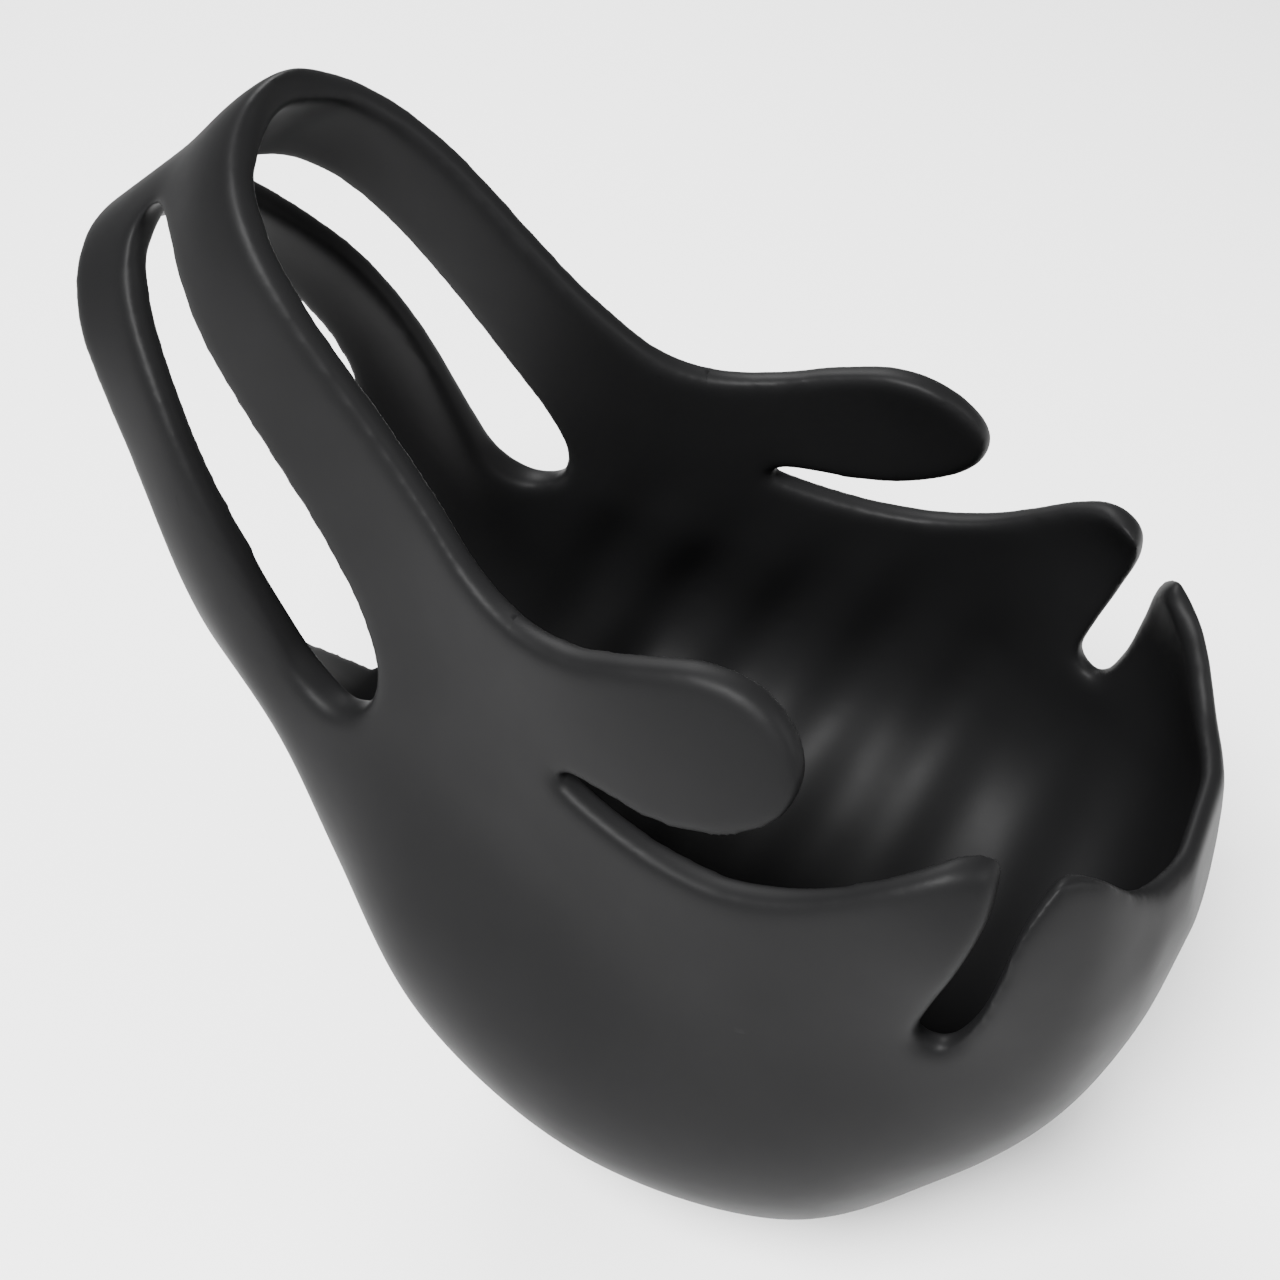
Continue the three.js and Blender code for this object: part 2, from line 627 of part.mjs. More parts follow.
place('pod_base', podBase(), podPlastic);
place('pod_lid', podLid(), podPlastic);
place('pod_gasket', podGasket(), sealRubber);
screwPlaces().forEach(([x, y], i) => place(`pod_screw_${i + 1}`, podScrew(x, y), steel));

place('motor_can', motorCan(), steel);
place('motor_end_cap', motorEndCap(), chipBlack);
place('motor_cradle', motorCradle(), foam);
place('motor_shaft', motorShaft(), steel);
place('eccentric_weight', eccentricWeight(), brass);
place('battery_cell', batteryCell(), cellWrap);
place('battery_pad', batteryPad(), foam);
place('circuit_board', circuitBoard(), boardGreen);
place('control_chip', controlChip(), chipBlack);
place('tact_switch', tactSwitch(), steel);
place('button_cap', buttonCap(), podPlastic);
place('status_led', toSolid(box([1.6, 1.2, 0.7], [LIGHT.x, 0, BOARD.bottom - 0.45])), clearPipe);
place('light_pipe', uprightPin(LIGHT.radius, LIGHT.x, 0, LIGHT.recess, BOARD.bottom - 1), clearPipe);
for (const [name, side] of [['left', 1], ['right', -1]]) {
  const top = BOARD.bottom - 0.2;
  const pin = uprightPin(CONTACT.radius, CONTACT.x, side * CONTACT.y, CONTACT.recess, top);
  place(`charge_contact_${name}`, pin, brass);
  place(`magnet_${name}`, magnet(side), steel);
}
place('battery_lead_red', batteryLead(1), leadRed);
place('battery_lead_black', batteryLead(-1), leadBlack);
place('motor_lead_red', motorLead(1), leadRed);
place('motor_lead_black', motorLead(-1), leadBlack);

export default massager;
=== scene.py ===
"""Looks of a wearable silicone massager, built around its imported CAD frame."""

import math

import bmesh
import bpy
from bpy.props import FloatProperty, FloatVectorProperty, IntProperty, PointerProperty
from mathutils import Matrix, Vector


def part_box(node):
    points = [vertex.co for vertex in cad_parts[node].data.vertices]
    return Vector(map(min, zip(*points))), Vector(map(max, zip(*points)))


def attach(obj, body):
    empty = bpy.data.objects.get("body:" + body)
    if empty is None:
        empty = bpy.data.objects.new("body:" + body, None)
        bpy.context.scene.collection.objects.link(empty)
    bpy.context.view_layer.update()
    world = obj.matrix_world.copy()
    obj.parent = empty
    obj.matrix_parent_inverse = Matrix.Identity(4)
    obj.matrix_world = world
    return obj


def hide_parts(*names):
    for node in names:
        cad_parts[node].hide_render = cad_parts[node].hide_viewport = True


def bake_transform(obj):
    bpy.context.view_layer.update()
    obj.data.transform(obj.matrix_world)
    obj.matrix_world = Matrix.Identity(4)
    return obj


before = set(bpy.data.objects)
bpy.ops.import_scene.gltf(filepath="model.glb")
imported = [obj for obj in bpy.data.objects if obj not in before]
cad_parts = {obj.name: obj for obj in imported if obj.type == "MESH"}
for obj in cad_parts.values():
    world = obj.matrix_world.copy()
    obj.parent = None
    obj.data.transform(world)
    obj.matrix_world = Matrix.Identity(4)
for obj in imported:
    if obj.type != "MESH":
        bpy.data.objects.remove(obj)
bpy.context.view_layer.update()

bl_info = {
    "name": "Silicone Massager",
    "version": (1, 0, 0),
    "blender": (4, 5, 0),
    "location": "View3D > Sidebar > Massager",
    "description": "Builds the moulded sleeve, the drive pod and the stage of a wearable massager",
    "category": "Object",
}

MM = 0.001

# Sections of the sleeve's outer skin from the collar's mouth to the nose, in millimetres: top and
# bottom in the middle plane (x, z), half widths at the top, quarters and bottom, the wall's thickness,
# the floor's thickness down the section, and the fraction of the hollow's ring above its rounding
SECTIONS = (
    ((-84, 101.3), (-58, 48), (21.5, 17.3, 17.4, 18.8, 18), 3.3, 3.6, 0.3),
    ((-72, 110.7), (-50, 34), (19, 20.4, 21.6, 22.5, 21), 3.3, 12, 0.35),
    ((-59, 121), (-43, 18), (26, 20.5, 21.5, 29, 27), 3.3, 23, 0.5),
    ((-39, 126), (-32, 4.5), (30, 21.5, 24.5, 38, 33), 3.3, 25, 0.66),
    ((-19, 121), (-12, -2.5), (32, 28.5, 30, 42.5, 36), 3.3, 29, 0.66),
    ((1, 111), (9, -1), (33, 32, 33, 39.5, 35), 3.2, 27.5, 0.66),
    ((18, 98), (22, 11.5), (29.5, 32.5, 28.5, 31, 29), 2.9, 17, 0.66),
    ((29, 86), (30.6, 24.5), (24.5, 23.5, 23, 23.2, 22), 2.5, 8, 0.66),
    ((33.9, 76), (35.6, 39), (15, 13.5, 15, 14.8, 14.5), 2.3, 4.5, 0.66),
    ((35.8, 69.5), (37.8, 54), (7, 7, 7, 7, 7), 2.3, 3.5, 0.66),
)

# Side view of the open edge (x, z): down the collar, round the wing, back along the long slit, along
# the rim, down and up the short slit, and along the lip
FRONT_EDGE = (
    (-58.6, 123.5), (-59.6, 120.8), (-59.7, 118.4), (-57.6, 115.4), (-51.8, 109), (-44, 100.5),
    (-36, 92), (-30.5, 87), (-25.6, 85.1), (-19, 85.4), (-12, 87.6), (-5.5, 89.2), (-0.5, 88.2),
    (3, 85.4), (4.4, 82), (3, 78), (-1.5, 74.6), (-7, 72.8), (-13, 72.6), (-17.5, 72.8),
    (-19.6, 71.6), (-17.5, 70.6), (-10, 68.8), (-3, 68.5), (3.5, 70), (9, 72.8), (14.5, 76.4),
    (18.5, 78.2), (21.2, 77.2), (21.8, 74), (20.6, 68), (18.2, 60), (17.6, 56.4), (20, 55),
    (22.1, 58.7), (23.4, 65), (24.4, 71.4), (26.3, 75), (29, 75.6), (39, 76),
)
# Front view of the dip in the lip's edge (y, z), from the middle out
LIP_DIP = (
    (0, 66.3), (6.4, 66.4), (9.3, 66.6), (11.3, 66.9), (13, 67.7), (14.7, 69), (15.9, 70.3),
    (17, 71.8), (18.2, 73.1), (19.4, 74.1), (21, 74.9), (23, 75.6),
)
LIP_DIP_BACK = 24  # how far back along the sleeve the dip's cutter starts
# Side view of the collar's rear edge (x, z), open behind it
REAR_EDGE = (
    (-85.5, 104), (-82.2, 100.6), (-78.4, 94.4), (-75, 89.6), (-71.8, 85.1), (-69, 79.9),
    (-66.8, 73.3), (-64.9, 65.4), (-62, 57.8), (-58.6, 50.6), (-54.8, 44.2),
)
# Side view of the gap between the collar's two loops (x, z)
SLOT = (
    (-72.6, 102.6), (-65.1, 92.2), (-59.2, 82.4), (-54.4, 72.5), (-51.6, 67.4), (-47.6, 64.9),
    (-43.6, 66.2), (-41.9, 70.7), (-43.5, 76.4), (-48.2, 84.2), (-54.6, 93), (-61.6, 101.6),
    (-66.4, 106.8), (-70.2, 108.2), (-72.9, 106.2),
)
# Where the wings and the lip part from the sleeve, and the length of silicone that bends there
WING_LINE = ((-19.4, 71.6), (-25.6, 85.1))
LIP_HINGE_HEIGHT = 58
WING_BEND = 10
LIP_BEND = 9
HALF_SPAN = 60  # reach of a cutter to each side of the middle plane
EDGE_STEP = 0.7  # spacing of the points along the front edge and the lip's dip
SIDE_STEP = 0.8  # spacing of the points along the rear edge and the slot
PROBE = 0.02  # step, as a fraction, over which a skin's slope is measured
MOST_INSET = 1.6  # most the wall is thickened across the sleeve where its skin leans
ROUND_TOP = 0.05  # part of a hollow ring over which its top rounds off
OPEN_ROOF = 0.5  # roof left over the hollow where the front opening cuts it away
ROOF_END = 4  # hollow section at which the wall-thick roof starts to thin

# The ribs fade out between two heights, start behind the cup's back and lean less towards its front
RIB_FADE = (46, 66)
RIB_FADE_LEAN = 0.25
RIB_FADE_REACH = 30
RIB_BACK = (-50, -36)
RIB_LEAN = (0.5, 0.18)
RIB_LEAN_SPAN = (-35, 25)
RIB_MIDDLE = 45

FLAP_SHARP = 55  # angle in degrees past which an edge of the sleeve is shaded sharp
BUTTON_SHARP = 50
PIN_GAP = 0.0003  # gap round each pin that comes through the landing
PIN_ROOM = (-0.004, 0.0055)  # bottom and top of the holes for those pins
POD_ROUND = 0.0042  # rounding of the room for the pod


# ------------------------------------------------------------------ curves and sections


def through(knots, t):
    """Catmull-Rom value through evenly spaced knots at t, counted in knots."""
    last = len(knots) - 1
    i = min(int(t), last - 1)
    w = t - i
    p1, p2 = knots[i], knots[i + 1]
    p0 = knots[i - 1] if i > 0 else 2 * p1 - p2
    p3 = knots[i + 2] if i < last - 1 else 2 * p2 - p1
    return 0.5 * (2 * p1 + (p2 - p0) * w + (2 * p0 - 5 * p1 + 4 * p2 - p3) * w * w
                  + (3 * p1 - p0 - 3 * p2 + p3) * w ** 3)


def mix(a, b, t):
    return a + (b - a) * t


def smooth_step(low, high, value):
    t = min(max((value - low) / (high - low), 0), 1)
    return t * t * (3 - 2 * t)


def half_width(half, v):
    """Half width of a section at the fraction v of the way down it."""
    return through(half, v * (len(half) - 1)) * 2 * math.sqrt(max(v * (1 - v), 0))


def section_at(sections, t):
    """Everything a section holds, at position t along the sleeve, counted in sections."""
    parts = []
    for part in zip(*sections):
        if isinstance(part[0], tuple):
            parts.append(tuple(through(knots, t) for knots in zip(*part)))
        else:
            parts.append(through(part, t))
    return parts


def skin_ring(t):
    """Outer skin at the fraction t along the sleeve: a function of the fraction v down the ring."""
    top, bottom, half = section_at(SECTIONS, t * (len(SECTIONS) - 1))[:3]
    return lambda v: (mix(top[0], bottom[0], v), half_width(half, v), mix(top[1], bottom[1], v))


def rounding(v, flat):
    """Factor that rounds a hollow ring off at its top and bottom."""
    past = max((ROUND_TOP - v) / ROUND_TOP, (v - flat) / (1 - flat), 0)
    return math.sqrt(max(1 - past * past, 0))


def hollow_ring(t):
    """The same for the hollow, which is the outer skin moved in by the wall and over the floor."""
    first, second = SECTIONS[:2]
    ends = [tuple(2 * a - b for a, b in zip(first[k], second[k])) for k in (0, 1)]
    sections = ((*ends, *first[2:]), *SECTIONS)
    last = len(sections) - 1
    top, bottom, half, wall, floor, flat = section_at(sections, t * last)
    before = section_at(sections, max(t * last - PROBE, 0))
    after = section_at(sections, min(t * last + PROBE, last))
    run = (after[0][0] + after[1][0] - before[0][0] - before[1][0]) / 2
    slope = min((after[2][2] - before[2][2]) / run, 0)
    square = math.hypot(slope, 1)
    length = math.hypot(bottom[0] - top[0], bottom[1] - top[1])
    roof = mix(wall, OPEN_ROOF, min(max(t * last - ROOF_END, 0), 1))

    def point(v):
        u = mix(roof / length, 1 - floor / length, v)
        step = min(PROBE, u, 1 - u)
        tilt = (half_width(half, u + step) - half_width(half, u - step)) / (2 * step * length)
        width = half_width(half, u) - wall / square * min(math.hypot(tilt, 1), MOST_INSET)
        return (mix(top[0], bottom[0], u) + wall * slope / square,
                max(width, 0.01) * rounding(v, flat), mix(top[1], bottom[1], u))

    return point


def smooth_outline(points, spacing, closed=False):
    """Centripetal Catmull-Rom outline through the points, divided at about the spacing."""
    count = len(points)
    ends = range(count if closed else count - 1)
    outline = []
    for i in ends:
        if closed:
            window = [Vector(points[(i + k) % count]) for k in (-1, 0, 1, 2)]
        else:
            window = [Vector(points[min(max(i + k, 0), count - 1)]) for k in (-1, 0, 1, 2)]
        p0, p1, p2, p3 = window
        steps = max(2, round((p2 - p1).length / spacing))
        d1 = (p2 - p1).length ** 0.5
        d0 = (p1 - p0).length ** 0.5 or d1
        d2 = (p3 - p2).length ** 0.5 or d1
        m1 = (p1 - p0) / d0 - (p2 - p0) / (d0 + d1) + (p2 - p1) / d1
        m2 = (p2 - p1) / d1 - (p3 - p1) / (d1 + d2) + (p3 - p2) / d2
        if p0 == p1:
            m1 = (p2 - p1) / d1
        if p3 == p2:
            m2 = (p2 - p1) / d1
        for step in range(steps):
            t = step / steps
            outline.append(
                (2 * t ** 3 - 3 * t * t + 1) * p1 + (t ** 3 - 2 * t * t + t) * d1 * m1
                + (3 * t * t - 2 * t ** 3) * p2 + (t ** 3 - t * t) * d1 * m2)
    if not closed:
        outline.append(Vector(points[-1]))
    return outline


# ------------------------------------------------------------------ meshes


def linked(obj):
    bpy.context.scene.collection.objects.link(obj)
    return obj


def to_object(name, bm):
    mesh = bpy.data.meshes.new(name)
    bm.to_mesh(mesh)
    bm.free()
    return linked(bpy.data.objects.new(name, mesh))


def bake(obj):
    """Replaces the mesh by what its modifiers make of it."""
    evaluated = obj.evaluated_get(bpy.context.evaluated_depsgraph_get())
    mesh = bpy.data.meshes.new_from_object(evaluated)
    old = obj.data
    obj.modifiers.clear()
    obj.data = mesh
    bpy.data.meshes.remove(old)
    mesh.name = obj.name


def boolean(obj, tool, operation):
    modifier = obj.modifiers.new("cut", "BOOLEAN")
    modifier.operation = operation
    modifier.solver = "MANIFOLD"
    modifier.object = tool
    bake(obj)
    if not obj.data.polygons:
        raise RuntimeError(f"the boolean with {tool.name} left nothing of {obj.name}")


def discard(*objects):
    for obj in objects:
        mesh = obj.data
        bpy.data.objects.remove(obj)
        bpy.data.meshes.remove(mesh)


def loft(name, ring_at, rows, steps, rib=None):
    """Closed tube through the rings, from a grid wrapped round them."""
    bm = bmesh.new()
    bmesh.ops.create_grid(bm, x_segments=rows, y_segments=steps, size=1)
    rings = [ring_at(row / rows) for row in range(rows + 1)]
    for vert in bm.verts:
        point = rings[round((vert.co.x + 1) / 2 * rows)]
        angle = (vert.co.y + 1) * math.pi
        x, width, z = point((1 - math.cos(angle)) / 2)
        vert.co = (x, width if math.sin(angle) < 0 else -width, z)
    bmesh.ops.remove_doubles(bm, verts=bm.verts, dist=0.001)
    bmesh.ops.holes_fill(bm, edges=[edge for edge in bm.edges if edge.is_boundary])
    bmesh.ops.recalc_face_normals(bm, faces=bm.faces)
    if rib:
        bm.normal_update()
        moves = [(vert, vert.normal * -rib(vert.co)) for vert in bm.verts]
        for vert, move in moves:
            vert.co += move
    bmesh.ops.scale(bm, vec=(MM, MM, MM), verts=bm.verts)
    return to_object(name, bm)


def side_prism(name, outline, low=-HALF_SPAN, high=HALF_SPAN):
    """Prism across the sleeve, from y = low to high, whose side view is the outline."""
    bm = bmesh.new()
    bmesh.ops.create_circle(bm, cap_ends=True, segments=len(outline), radius=1)
    bm.verts.ensure_lookup_table()
    for vert, (x, z) in zip(bm.verts, outline):
        vert.co = (x, low, z)
    swept = bmesh.ops.extrude_face_region(bm, geom=list(bm.faces))
    verts = [item for item in swept["geom"] if isinstance(item, bmesh.types.BMVert)]
    bmesh.ops.translate(bm, vec=(0, high - low, 0), verts=verts)
    bmesh.ops.triangulate(bm, faces=bm.faces)
    bmesh.ops.recalc_face_normals(bm, faces=bm.faces)
    bmesh.ops.scale(bm, vec=(MM, MM, MM), verts=bm.verts)
    return to_object(name, bm)


def dip_prism(name):
    """Prism along X through the front view of the lip's dip."""
    half = smooth_outline(LIP_DIP, EDGE_STEP)
    outline = [*((-y, z) for y, z in reversed(half[1:])), *half, (30, 90), (-30, 90)]
    prism = side_prism(name, outline, -HALF_SPAN, -LIP_DIP_BACK)
    prism.data.transform(Matrix.Rotation(math.pi / 2, 4, "Z"))
    return prism


def block(name, low, high, bevel=0):
    """Box between two corners in metres, with its edges rounded."""
    bm = bmesh.new()
    bmesh.ops.create_cube(bm, size=1)
    size = Vector(high) - Vector(low)
    bmesh.ops.scale(bm, vec=size, verts=bm.verts)
    bmesh.ops.translate(bm, vec=(Vector(low) + Vector(high)) / 2, verts=bm.verts)
    if bevel:
        bmesh.ops.bevel(bm, geom=bm.edges, offset=bevel, offset_type="OFFSET", segments=4,
                        profile=0.5, affect="EDGES", material=-1)
    bmesh.ops.recalc_face_normals(bm, faces=bm.faces)
    return to_object(name, bm)


def turned(name, profile, centre, segments=64):
    """Solid turned about an upright axis through centre, from a profile of (radius, z) in metres."""
    bm = bmesh.new()
    verts = [bm.verts.new((radius, 0, z)) for radius, z in profile]
    edges = [bm.edges.new(pair) for pair in zip(verts, verts[1:])]
    bmesh.ops.spin(bm, geom=verts + edges, cent=(0, 0, 0), axis=(0, 0, 1), dvec=(0, 0, 0),
                   angle=2 * math.pi, steps=segments, use_merge=True, use_duplicate=False)
    bmesh.ops.remove_doubles(bm, verts=bm.verts, dist=1e-6)
    bmesh.ops.recalc_face_normals(bm, faces=bm.faces)
    bmesh.ops.translate(bm, vec=(centre[0], centre[1], 0), verts=bm.verts)
    return to_object(name, bm)


def shade(obj, sharp_angle):
    obj.data.shade_smooth()
    obj.data.set_sharp_from_angle(angle=math.radians(sharp_angle))


# ------------------------------------------------------------------ materials


class Nodes:
    """A material's node tree with short calls to add and link nodes."""

    def __init__(self, name):
        self.material = bpy.data.materials.new(name)
        self.material.use_nodes = True
        self.tree = self.material.node_tree
        self.shader = self.tree.nodes["Principled BSDF"]
        self.coordinates = self.add("ShaderNodeTexCoord").outputs["Object"]

    def add(self, kind, **values):
        node = self.tree.nodes.new(kind)
        for key, value in values.items():
            setattr(node, key, value)
        return node

    def link(self, source, target):
        self.tree.links.new(source, target)

    def set(self, **values):
        for key, value in values.items():
            self.shader.inputs[key.replace("_", " ")].default_value = value

    def noise(self, scale, detail=3, roughness=0.55, stretch=(1, 1, 1)):
        mapping = self.add("ShaderNodeMapping")
        mapping.inputs["Scale"].default_value = stretch
        self.link(self.coordinates, mapping.inputs["Vector"])
        node = self.add("ShaderNodeTexNoise")
        node.inputs["Scale"].default_value = scale
        node.inputs["Detail"].default_value = detail
        node.inputs["Roughness"].default_value = roughness
        self.link(mapping.outputs["Vector"], node.inputs["Vector"])
        return node.outputs["Fac"]

    def ramp(self, source, low, high, start=0.3, stop=0.7):
        node = self.add("ShaderNodeValToRGB")
        node.color_ramp.elements[0].position = start
        node.color_ramp.elements[0].color = (*low, 1)
        node.color_ramp.elements[1].position = stop
        node.color_ramp.elements[1].color = (*high, 1)
        self.link(source, node.inputs["Fac"])
        return node.outputs["Color"]

    def span(self, source, low, high):
        node = self.add("ShaderNodeMapRange")
        node.inputs["To Min"].default_value = low
        node.inputs["To Max"].default_value = high
        self.link(source, node.inputs["Value"])
        return node.outputs["Result"]

    def bump(self, height, distance, strength=1.0, before=None):
        node = self.add("ShaderNodeBump")
        node.inputs["Strength"].default_value = strength
        node.inputs["Distance"].default_value = distance
        self.link(height, node.inputs["Height"])
        if before:
            self.link(before, node.inputs["Normal"])
        self.link(node.outputs["Normal"], self.shader.inputs["Normal"])
        return node.outputs["Normal"]


def tint(colour, factor):
    return tuple(channel * factor for channel in colour)


def silicone_material(colour):
    """Matt soft-touch silicone: fine moulded grain and slight changes in shade and gloss."""
    nodes = Nodes("soft_silicone")
    nodes.set(Specular_IOR_Level=0.07)
    clouds = nodes.noise(45, detail=4)
    nodes.link(nodes.ramp(clouds, tint(colour, 0.9), tint(colour, 1.12)),
               nodes.shader.inputs["Base Color"])
    nodes.link(nodes.span(nodes.noise(160, detail=2), 0.48, 0.57), nodes.shader.inputs["Roughness"])
    grain = nodes.noise(5200, detail=2, roughness=0.7)
    ripple = nodes.noise(90, detail=2)
    nodes.bump(grain, 0.00001, 0.5, before=nodes.bump(ripple, 0.00004, 0.3))
    return nodes.material


def plastic_material(name, colour, roughness, grain=3200):
    nodes = Nodes(name)
    nodes.link(nodes.ramp(nodes.noise(120), tint(colour, 0.9), tint(colour, 1.1)),
               nodes.shader.inputs["Base Color"])
    nodes.link(nodes.span(nodes.noise(400), roughness - 0.05, roughness + 0.08),
               nodes.shader.inputs["Roughness"])
    nodes.bump(nodes.noise(grain, detail=2), 0.000008, 0.6)
    return nodes.material


def metal_material(name, colour, roughness, stretch=(1, 1, 1)):
    nodes = Nodes(name)
    nodes.set(Metallic=1.0)
    brushed = nodes.noise(1800, detail=4, stretch=stretch)
    nodes.link(nodes.ramp(brushed, tint(colour, 0.86), tint(colour, 1.06)),
               nodes.shader.inputs["Base Color"])
    nodes.link(nodes.span(brushed, roughness - 0.06, roughness + 0.12),
               nodes.shader.inputs["Roughness"])
    nodes.bump(brushed, 0.000006, 0.4)
    return nodes.material


def board_material():
    """Green solder mask with faint copper tracks under it."""
    nodes = Nodes("solder_mask")
    tracks = nodes.add("ShaderNodeTexBrick")
    tracks.inputs["Scale"].default_value = 420
    tracks.inputs["Mortar Size"].default_value = 0.03
    tracks.inputs["Color1"].default_value = (0.008, 0.085, 0.04, 1)
    tracks.inputs["Color2"].default_value = (0.01, 0.1, 0.046, 1)
    tracks.inputs["Mortar"].default_value = (0.03, 0.17, 0.07, 1)
    nodes.link(nodes.coordinates, tracks.inputs["Vector"])
    nodes.link(tracks.outputs["Color"], nodes.shader.inputs["Base Color"])
    nodes.link(nodes.span(nodes.noise(300), 0.28, 0.4), nodes.shader.inputs["Roughness"])
    nodes.bump(tracks.outputs["Fac"], 0.00002, 0.5)
    return nodes.material


def foam_material():
    nodes = Nodes("closed_cell_foam")
    cells = nodes.add("ShaderNodeTexVoronoi")
    cells.inputs["Scale"].default_value = 2600
    nodes.link(nodes.coordinates, cells.inputs["Vector"])
    nodes.link(nodes.ramp(cells.outputs["Distance"], (0.03, 0.03, 0.032), (0.07, 0.07, 0.072)),
               nodes.shader.inputs["Base Color"])
    nodes.set(Roughness=0.9)
    nodes.bump(cells.outputs["Distance"], 0.0001, 0.8)
    return nodes.material


def clear_material():
    nodes = Nodes("milky_clear")
    nodes.set(Transmission_Weight=0.6, IOR=1.49)
    nodes.link(nodes.ramp(nodes.noise(700), (0.78, 0.82, 0.85), (0.92, 0.95, 0.97)),
               nodes.shader.inputs["Base Color"])
    nodes.link(nodes.span(nodes.noise(900), 0.12, 0.22), nodes.shader.inputs["Roughness"])
    return nodes.material


def floor_material(colour):
    nodes = Nodes("studio_floor")
    nodes.link(nodes.ramp(nodes.noise(6), tint(colour, 0.985), colour),
               nodes.shader.inputs["Base Color"])
    nodes.set(Roughness=0.85, Specular_IOR_Level=0.2)
    return nodes.material


def finish_piece(obj, material, body="root", replaces=()):
    obj.data.materials.clear()
    obj.data.materials.append(material)
    if body:
        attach(obj, body)
    if replaces:
        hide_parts(*replaces)


def finish_nodes(material, *names):
    """Gives carried-over CAD nodes a finished material."""
    for name in names:
        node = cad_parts[name]
        if not node.material_slots:
            node.data.materials.append(material)
        for material_slot in node.material_slots:
            material_slot.material = material


# ------------------------------------------------------------------ settings


class SleeveSettings(bpy.types.PropertyGroup):
    rib_pitch: FloatProperty(name="Rib pitch", default=12.5, min=4, max=14,
                             description="Distance between the ribs in the cup, in millimetres")
    rib_height: FloatProperty(name="Rib height", default=1.15, min=0, max=2.5,
                              description="Height of the ribs above the wall, in millimetres")
    rows: IntProperty(name="Rows", description="Rows of faces along the sleeve", default=170)
    steps: IntProperty(name="Steps", description="Faces round each row", default=200)
    voxel: FloatProperty(name="Voxel", description="Size of the remeshed faces", default=0.00038,
                         min=0.0003, max=0.002, unit="LENGTH", precision=5)
    smoothing: IntProperty(name="Smoothing", default=42, min=0, max=80,
                           description="Passes that round the moulded edges")
    triangles: IntProperty(name="Triangles", default=185000,
                           description="Most triangles kept in the sleeve")
    colour: FloatVectorProperty(name="Silicone", description="Colour of the silicone",
                                subtype="COLOR", size=3, default=(0.0044, 0.0044, 0.0046))


class PodSettings(bpy.types.PropertyGroup):
    clearance: FloatProperty(name="Clearance", default=0.0004, unit="LENGTH", precision=5,
                             description="Gap between the pod and the silicone round it")
    plastic: FloatVectorProperty(name="Plastic", description="Colour of the pod and its button",
                                 subtype="COLOR", size=3, default=(0.03, 0.031, 0.034))
    seal: FloatVectorProperty(name="Seal", description="Colour of the pod's gasket",
                              subtype="COLOR", size=3, default=(0.25, 0.045, 0.02))
    cell: FloatVectorProperty(name="Cell wrap", description="Colour of the cell's shrink wrap",
                              subtype="COLOR", size=3, default=(0.03, 0.15, 0.42))


class StageSettings(bpy.types.PropertyGroup):
    floor: FloatVectorProperty(name="Floor", description="Colour of the studio floor",
                               subtype="COLOR", size=3, default=(0.9, 0.9, 0.9))
    world: FloatProperty(name="World light", description="Strength of the light from all round",
                         default=0.3, min=0)
    key: FloatProperty(name="Key light", description="Power of the main light", default=24.0,
                       min=0, unit="POWER")


# ------------------------------------------------------------------ pieces


def rib_field(settings):
    """Height of the soft ribs at a point of the cup's inner skin, in millimetres."""

    def height(point):
        rise = RIB_FADE_LEAN * min(-point.x, RIB_FADE_REACH)
        fade = 1 - smooth_step(*RIB_FADE, point.z - rise)
        back = smooth_step(*RIB_BACK, point.x)
        lean = mix(*RIB_LEAN, smooth_step(*RIB_LEAN_SPAN, point.x))
        along = point.x - lean * (point.z - RIB_MIDDLE)
        wave = 0.5 + 0.5 * math.cos(2 * math.pi * along / settings.rib_pitch)
        return settings.rib_height * wave * fade * back

    return height


def wing_region(name, side):
    """Everything on a wing's side of its hinge line."""
    (x0, z0), (x1, z1) = WING_LINE
    over = 0.2
    outline = [(x0, z0), (-15, 71.3), (-11, 70.7), (-4, 70.8), (2, 72.6), (8, 80), (8, 110),
               (x1 + (x1 - x0) * over, 110), (x1 + (x1 - x0) * over, z1 + (z1 - z0) * over)]
    low, high = (5, HALF_SPAN) if side > 0 else (-HALF_SPAN, -5)
    return side_prism(name, outline, low, high)


def lip_region(name):
    """Everything on the lip's side of its hinge line, between the short slits."""
    low = LIP_HINGE_HEIGHT
    return side_prism(name, [(20, low), (60, low), (60, 110), (23.8, 110), (23.8, 76), (22.2, 68)])


def grown_box(node, grow):
    low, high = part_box(node)
    margin = Vector((grow, grow, grow))
    return low - margin, high + margin


def pod_tools(clearance):
    """Solids that leave room for the pod, and for what comes through the landing."""
    low = grown_box("pod_base", clearance)[0]
    high = grown_box("pod_lid", clearance)[1]
    tools = [block("pod_room", low, high, bevel=POD_ROUND)]
    bottom, top = PIN_ROOM
    for node in ("button_cap", "light_pipe", "charge_contact_left", "charge_contact_right"):
        pin_low, pin_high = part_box(node)
        radius = (pin_high.x - pin_low.x) / 2 + PIN_GAP
        hole = [(0, bottom), (radius, bottom), (radius, top), (0, top)]
        tools.append(turned(f"{node}_hole", hole, (pin_low + pin_high) / 2))
    return tools


